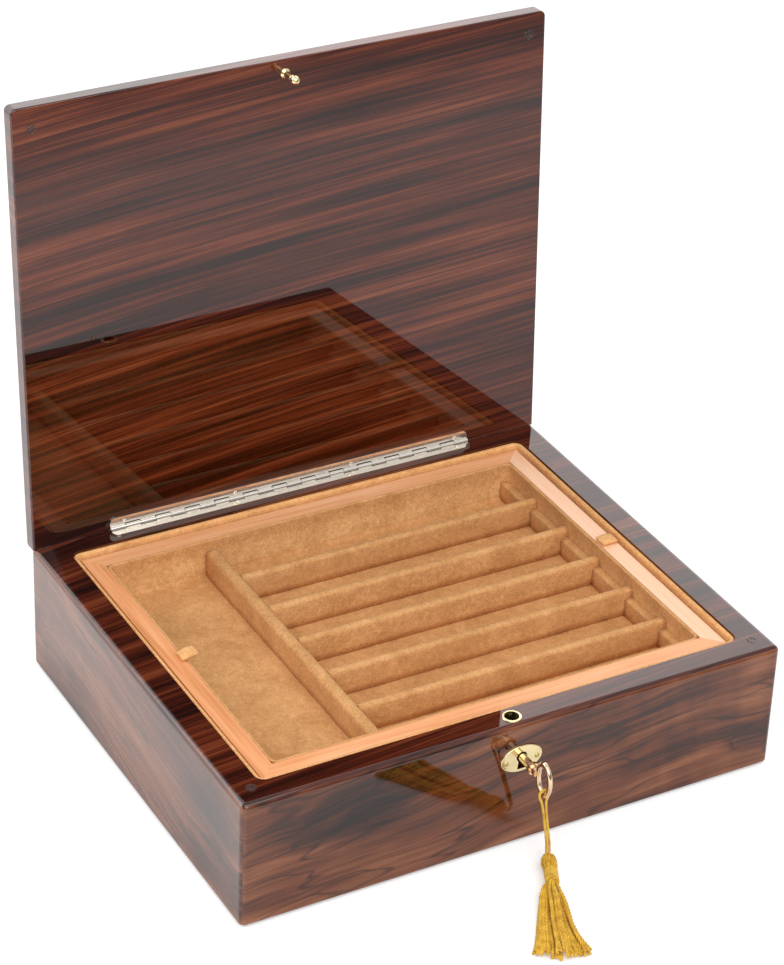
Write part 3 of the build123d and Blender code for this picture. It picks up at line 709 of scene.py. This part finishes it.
def floor_pad():
    """The pad on the floor of the case, with a soft crowned edge."""
    low, high = node_box_mm("floor_pad")
    half = ((high[0] - low[0]) / 2, (high[1] - low[1]) / 2)
    top = high[2]
    clear = 0.1
    crown = 0.7
    corner = 2.5
    profile = [(clear, low[2]), (clear, top - crown)]
    profile += arc((clear + crown, top - crown), crown, 180, 90, 4) + [(8.0, top - 0.02)]
    outlines = [rounded_outline(half[0] - inward, half[1] - inward, corner) for inward, _ in profile]
    around = len(outlines[0])
    points = []
    for outline, (_, height) in zip(outlines, profile):
        points += [mm((x, y, height)) for x, y in outline]
    faces = ring_faces(len(profile), around) + [ring_cap(len(profile) - 1, around)]
    piece = mesh_piece("floor_pad_suede", points, faces, "suede", "case")
    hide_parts("floor_pad")


def pull_tab(node, body, root, tilt):
    """A folded suede ribbon: two leaves that meet at the free end and swell round the fold."""
    top_leaf = []
    steps = 10
    for step in range(steps + 1):
        share = step / steps
        swell = 0.2 + 0.6 * math.sin(math.pi * min(share * 1.15, 1.0))
        top_leaf.append((TAB_LENGTH * share, swell + TAB_THICKNESS / 2))
    low_leaf = [(x, -1.2 + 0.1 * math.sin(math.pi * x / TAB_LENGTH)) for x, _ in reversed(top_leaf)]
    fold = arc((0.0, -0.2), 1.0, 220, 140, 4)
    section = top_leaf + low_leaf + fold
    centre = Vector(root)
    turn = Matrix.Rotation(math.radians(-tilt), 3, "Y")
    points = []
    rows = 8
    for row in range(rows + 1):
        y = (row / rows - 0.5) * TAB_WIDTH
        pinch = 1.0 - 0.10 * (2 * row / rows - 1) ** 2
        for x, z in section:
            local = turn @ Vector((x, 0, z * pinch))
            wobble = waver((x, y, z), size=5.0, reach=0.25, seed=2.0)
            points.append(mm((centre.x + local.x, centre.y + y, centre.z + local.z + wobble)))
    around = len(section)
    faces = ring_faces(rows + 1, around) + [ring_cap(0, around), ring_cap(rows, around)]
    piece = mesh_piece(f"{node}_suede", points, faces, "lip_suede", body)
    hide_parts(node)


case_lining()
tray_pan()
tray_boards()
floor_pad()
pull_tab("pull_tab_left", "left_tab", root=(-113.6, 2.0, 65.45), tilt=10.0)
pull_tab("pull_tab_right", "right_tab", root=(113.9, 2.0, 65.45), tilt=0.0)


# ---------------------------------------------------------------- tassel
tassel_way = (TASSEL_TAIL - TASSEL_TOP).normalized()
tassel_side = Vector((-tassel_way.y, tassel_way.x, 0.0))
UP = Vector((0.0, 0.0, 1.0))


def tubes(name, paths, radius, sides=6):
    """One mesh of round tubes along paths in mm, each given with its thickness at every point."""
    points = []
    faces = []
    for path, thickness in paths:
        start = len(points)
        across = (path[1] - path[0]).orthogonal().normalized()
        for index, point in enumerate(path):
            way = (path[min(index + 1, len(path) - 1)] - path[max(index - 1, 0)]).normalized()
            across = (across - way * across.dot(way)).normalized()
            other = way.cross(across)
            size = radius * thickness[index]
            for side in range(sides):
                angle = 2 * math.pi * side / sides
                offset = across * (math.cos(angle) * size) + other * (math.sin(angle) * size)
                points.append(mm(point + offset))
        caps = [ring_cap(0, sides), ring_cap(len(path) - 1, sides)]
        for face in ring_faces(len(path), sides) + caps:
            faces.append(tuple(start + corner for corner in face))
    return mesh_piece(name, points, faces, "thread", "tassel")


def plies(path, thickness, yarn, pitch, start_angle):
    """Two plies twisted round a yarn's centre line, each as a path with its thickness."""
    twisted = ([], [])
    across = (path[1] - path[0]).orthogonal().normalized()
    travelled = 0.0
    for index, point in enumerate(path):
        way = (path[min(index + 1, len(path) - 1)] - path[max(index - 1, 0)]).normalized()
        across = (across - way * across.dot(way)).normalized()
        other = way.cross(across)
        travelled += (point - path[max(index - 1, 0)]).length
        angle = start_angle + 2 * math.pi * travelled / pitch
        reach = yarn * 0.44 * thickness[index]
        offset = across * (math.cos(angle) * reach) + other * (math.sin(angle) * reach)
        twisted[0].append(point + offset)
        twisted[1].append(point - offset)
    return [(ply, thickness) for ply in twisted]


def tassel_point(along, radius, angle):
    """A point near the tassel's axis: distance from the top of the head, radius and angle."""
    centre = TASSEL_TOP + tassel_way * along
    return centre + tassel_side * (radius * math.cos(angle)) + UP * (radius * math.sin(angle))


def head_profile(share):
    """Distance and radius along the head's yarn, from its crown over the ball to the neck."""
    ball_share = 0.4545
    angle = min(share * 2.2, 1.0) * math.pi / 2
    along = HEAD_RADIUS * (1 - math.cos(angle))
    radius = HEAD_RADIUS * math.sin(angle)
    if share > ball_share:
        settle = (share - ball_share) / (1 - ball_share)
        along = HEAD_RADIUS + settle * (HEAD_LENGTH - 0.2 - HEAD_RADIUS)
        radius = HEAD_RADIUS - (HEAD_RADIUS - NECK_RADIUS + 0.25) * settle**3
    return along, radius


def tassel_head():
    """The yarn laid over the ball, thick strand beside strand from the crown to the neck."""
    strands = 13
    stations = 30
    crown_share = 0.05
    yarn = 1.02
    twist = 3.4
    picks = random.Random(3)
    paths = []
    for strand in range(strands):
        base = 2 * math.pi * strand / strands + picks.uniform(-0.10, 0.10)
        lean = picks.uniform(-0.25, 0.45)
        puff = picks.uniform(0.85, 1.12)
        path = []
        for station in range(stations):
            share = crown_share + (1 - crown_share) * station / (stations - 1)
            along, radius = head_profile(share)
            radius = max(radius - yarn * 0.95, 0.3) + 0.12 * math.sin(base * 3 + share * 9)
            path.append(tassel_point(along, radius, base + lean * share))
        thickness = [0.72 * puff] * len(path)
        paths += plies(path, thickness, yarn, twist, base * 5)
    piece = tubes("tassel_head_yarn", paths, yarn * 0.62)
    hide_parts("tassel_head")
    core_radii = {0.6: 0.9, 2.0: 2.5, 4.0: 3.1, 6.5: 3.0, 9.0: 2.5, 12.0: 2.2, 19.2: 2.2}
    core = [tassel_point(along, 0.0, 0.0) for along in core_radii]
    return piece, tubes("tassel_core", [(core, list(core_radii.values()))], 1.0, 16)


def tassel_binding():
    """The thread wound tightly round the neck."""
    wound = 0.66
    reach = NECK_RADIUS - wound * 0.7
    first_turn = HEAD_LENGTH + 0.45
    path = []
    steps = 24
    for step in range(int(THREAD_TURNS * steps) + 1):
        turn = step / steps
        along = first_turn + THREAD_PITCH * turn
        path.append(tassel_point(along, reach, 2 * math.pi * turn))
    piece = tubes("tassel_binding_thread", [(path, [1.0] * len(path))], wound, 8)
    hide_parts("tassel_binding")
    return piece


# the skirt's two edges on the table: distance from the head's top, left edge, right edge
SKIRT_EDGES = (
    (19.0, -3.4, 2.6),
    (22.0, -5.6, 3.4),
    (27.0, -7.4, 4.8),
    (32.0, -8.2, 6.1),
    (39.0, -9.3, 7.2),
    (46.5, -10.3, 8.2),
    (54.0, -11.2, 10.2),
    (61.0, -12.4, 13.2),
    (66.0, -14.0, 15.0),
)


def skirt_edges(along):
    """The skirt's left and right edges at a distance from the head's top."""
    for before, after in zip(SKIRT_EDGES, SKIRT_EDGES[1:]):
        if along <= after[0] or after is SKIRT_EDGES[-1]:
            share = (along - before[0]) / (after[0] - before[0])
            left = before[1] + (after[1] - before[1]) * share
            right = before[2] + (after[2] - before[2]) * share
            return left, right


def tassel_skirt():
    """Thick twisted yarns that leave the neck together and fan out on the table, some across others."""
    picks = random.Random(11)
    yarn = 0.94
    twist = 4.4
    strands = 38
    stations = 60
    # steps that spread the strands evenly over the fan's breadth and over its height
    breadth_step = 0.618034
    height_step = 0.754877
    start_along = HEAD_LENGTH + NECK_LENGTH - 1.2
    longest = 67.2
    axis_height = 4.3
    pile_height = 4.9
    paths = []
    for strand in range(strands):
        fan_end = 2 * ((strand * breadth_step) % 1.0) - 1
        rise_end = ((strand * height_step) % 1.0) * math.sqrt(1 - 0.8 * fan_end**2)
        fan_start = fan_end * 0.8 + picks.uniform(-0.35, 0.35) * (0.4 + rise_end)
        end_along = longest - 2.5 * abs(fan_end) + picks.uniform(-2.8, 1.8)
        wave_start = picks.uniform(0, 6.28)
        wave = picks.uniform(0.15, 0.55)
        path = []
        thickness = []
        for station in range(stations + 1):
            share = station / stations
            along = start_along + (end_along - start_along) * share
            left, right = skirt_edges(along)
            fan = fan_start + (fan_end - fan_start) * share**0.8
            fan = max(min(fan, 1.0), -1.0)
            middle = (left + right) / 2
            half = (right - left) / 2 - yarn
            out = middle + fan * half + wave * math.sin(wave_start + share * 6.5) * share * (1 - fan**2)
            settled = 1 - (1 - min(share * 1.6, 1.0)) ** 2
            neck_height = axis_height + (rise_end * 2 - 1) * 2.1
            laid_height = yarn + rise_end * (pile_height - 1.6 * share)
            height = neck_height + (laid_height - neck_height) * settled
            height += 0.22 * math.sin(wave_start * 2 + share * 8.0) * share
            centre = TASSEL_TOP + tassel_way * along + tassel_side * out
            path.append(Vector((centre.x, centre.y, max(height, yarn + 0.1))))
            thickness.append(0.62 + 0.38 * min(share * 4.0, 1.0))
        paths += plies(path, thickness, yarn, twist, wave_start)
    piece = tubes("tassel_skirt_yarn", paths, yarn * 0.58)
    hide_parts("tassel_skirt")


def tassel_cord():
    """One thin cord from the head up round the ring of the key and back, two strands side by side."""
    shift = tassel_side * STRAND_HALF_GAP
    foot = [Vector(point) for point in CORD_FOOT]
    right = [point + shift for point in foot] + [Vector((x, RING_PLANE_Y, z)) for x, z in CORD_LOOP]
    left = [point - shift for point in foot] + [Vector((-x, RING_PLANE_Y, z)) for x, z in CORD_LOOP]
    route = right + left[::-1]
    curve = bpy.data.curves.new("tassel_cord_thread", "CURVE")
    curve.dimensions = "3D"
    spline = curve.splines.new("NURBS")
    spline.points.add(len(route) - 1)
    for point, place in zip(spline.points, route):
        point.co = (*mm(place), 1.0)
    spline.order_u = 3
    spline.use_endpoint_u = True
    spline.resolution_u = 12
    curve.bevel_depth = mm(CORD_DIAMETER / 2)
    curve.bevel_resolution = 4
    curve.use_fill_caps = True
    curve.materials.append(finishes["thread"])
    cord = bpy.data.objects.new("tassel_cord_thread", curve)
    bpy.context.scene.collection.objects.link(cord)
    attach(cord, "tassel")
    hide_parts("tassel_cord")
    mm(route[0])
    mm(CORD_LENGTH)
    mm(CORD_DIAMETER)


head_yarn, head_core = tassel_head()
binding_thread = tassel_binding()
tassel_skirt()
tassel_cord()

# ---------------------------------------------------------------- studio
FLOOR_HALF = 4.0
FLOOR_DROP = 0.0002


def floor_finish():
    """Pale table: bright to the camera, and still shaded under the chest. To glossy rays it glows to the
    left of the chest, a painted reflection, and in front it is painted dark, a painted dark reflection."""
    painted_dark_reflection = (0.05, 0.045, 0.04)
    finish = Finish("white_table")
    x, y, _ = finish.parts(finish.place)
    seen = finish.node("ShaderNodeLightPath", {}, pick="Is Camera Ray")
    mirrored = finish.node("ShaderNodeLightPath", {}, pick="Is Glossy Ray")
    grain = finish.cloud(finish.place, 30.0, 2.0)
    paper = finish.ramp(grain, (0.3, (0.85, 0.85, 0.85)), (0.7, (0.87, 0.87, 0.87)))
    # To glossy rays the table in front of the chest turns dark: a painted dark reflection.
    dark_reflection_share = mirrored * y.stretch(-0.80, -0.50, 1.0, 0.0)
    table = finish.blend(dark_reflection_share, paper, painted_dark_reflection)
    matte = finish.node("ShaderNodeBsdfDiffuse", {}, table)
    # To glossy rays the table glows just left of the chest: a painted reflection that brightens the left
    # face's polish.
    painted_glow_left = x.stretch(-0.16, -0.13, 0.42, 0.0)
    strength = seen * 0.30 + mirrored * painted_glow_left
    glow = finish.node("ShaderNodeEmission", {}, (1.0, 1.0, 1.0), strength)
    both = finish.node("ShaderNodeAddShader", {}, matte, glow)
    finish.end("ShaderNodeOutputMaterial", both)
    return finish.material


def studio_floor():
    """The table's top, a hair below the chest's felt."""
    reach = FLOOR_HALF
    corners = [(-reach, -reach), (reach, -reach), (reach, reach), (-reach, reach)]
    mesh = bpy.data.meshes.new("studio_floor")
    mesh.from_pydata([(x, y, -FLOOR_DROP) for x, y in corners], [], [(0, 1, 2, 3)])
    mesh.materials.append(floor_finish())
    floor = bpy.data.objects.new("studio_floor", mesh)
    bpy.context.scene.collection.objects.link(floor)


def studio_world():
    """White surroundings: a bright card low behind the chest, and a dark room before it in polish."""
    world = bpy.data.worlds.new("studio")
    bpy.context.scene.world = world
    world.use_nodes = True
    sky = Nodes(world.node_tree)
    direction = sky.node("ShaderNodeTexCoord", {}, pick="Generated")
    _, towards_back, upward = sky.parts(direction)
    card = towards_back.stretch(0.15, 0.50) * upward.stretch(0.60, 0.80, 1.0, 0.0)
    room = towards_back.stretch(-0.50, -0.20, 1.0, 0.0) * upward.stretch(0.18, 0.40, 1.0, 0.0)
    mirrored = sky.node("ShaderNodeLightPath", {}, pick="Is Glossy Ray")
    plain = 0.72
    card_strength = mirrored * 0.95 + 0.55
    darkness = mirrored * room * 0.8
    strength = (card * card_strength + plain) * (1.0 - darkness)
    light = sky.node("ShaderNodeBackground", {}, (1.0, 1.0, 1.0), strength)
    white = sky.node("ShaderNodeBackground", {}, (1.0, 1.0, 1.0), 1.0)
    seen = sky.node("ShaderNodeLightPath", {}, pick="Is Camera Ray")
    sky.end("ShaderNodeOutputWorld", sky.node("ShaderNodeMixShader", {}, seen, light, white))


def softbox(name, place, target, size, power):
    """A square lamp with soft edges, aimed at a point."""
    lamp = bpy.data.lights.new(name, "AREA")
    lamp.shape = "SQUARE"
    lamp.size = size
    lamp.energy = power
    holder = bpy.data.objects.new(name, lamp)
    holder.location = place
    holder.rotation_mode = "QUATERNION"
    holder.rotation_quaternion = (Vector(target) - Vector(place)).to_track_quat("-Z", "Y")
    bpy.context.scene.collection.objects.link(holder)


CAMERA_PLACE = Vector((-0.6272, -1.0744, 0.8913))
CAMERA_AIM = Vector((0.42642, 0.73863, -0.52210))
CAMERA_RIGHT = Vector((0.87635, -0.48031, 0.03624))
CAMERA_LENS = 117.39
SENSOR = 36.0


def studio_camera():
    """The camera of the photograph: three-quarter view from the front left, looking down."""
    data = bpy.data.cameras.new("camera")
    data.lens = CAMERA_LENS
    data.sensor_width = SENSOR
    data.sensor_fit = "AUTO"
    camera = bpy.data.objects.new("camera", data)
    upward = CAMERA_RIGHT.cross(CAMERA_AIM).normalized()
    turn = Matrix((CAMERA_RIGHT.normalized(), upward, -CAMERA_AIM.normalized())).transposed()
    camera.matrix_world = Matrix.Translation(CAMERA_PLACE) @ turn.to_4x4()
    bpy.context.scene.collection.objects.link(camera)
    bpy.context.scene.camera = camera


studio_floor()
studio_world()
softbox("front_softbox", (-0.35, -1.30, 1.50), (0.0, 0.0, 0.05), size=2.0, power=26.0)
softbox("side_softbox", (-1.0, 0.75, 0.9), (-0.2, 0.05, 0.0), size=0.8, power=4.0)
studio_camera()
bpy.context.scene.view_settings.view_transform = "Standard"
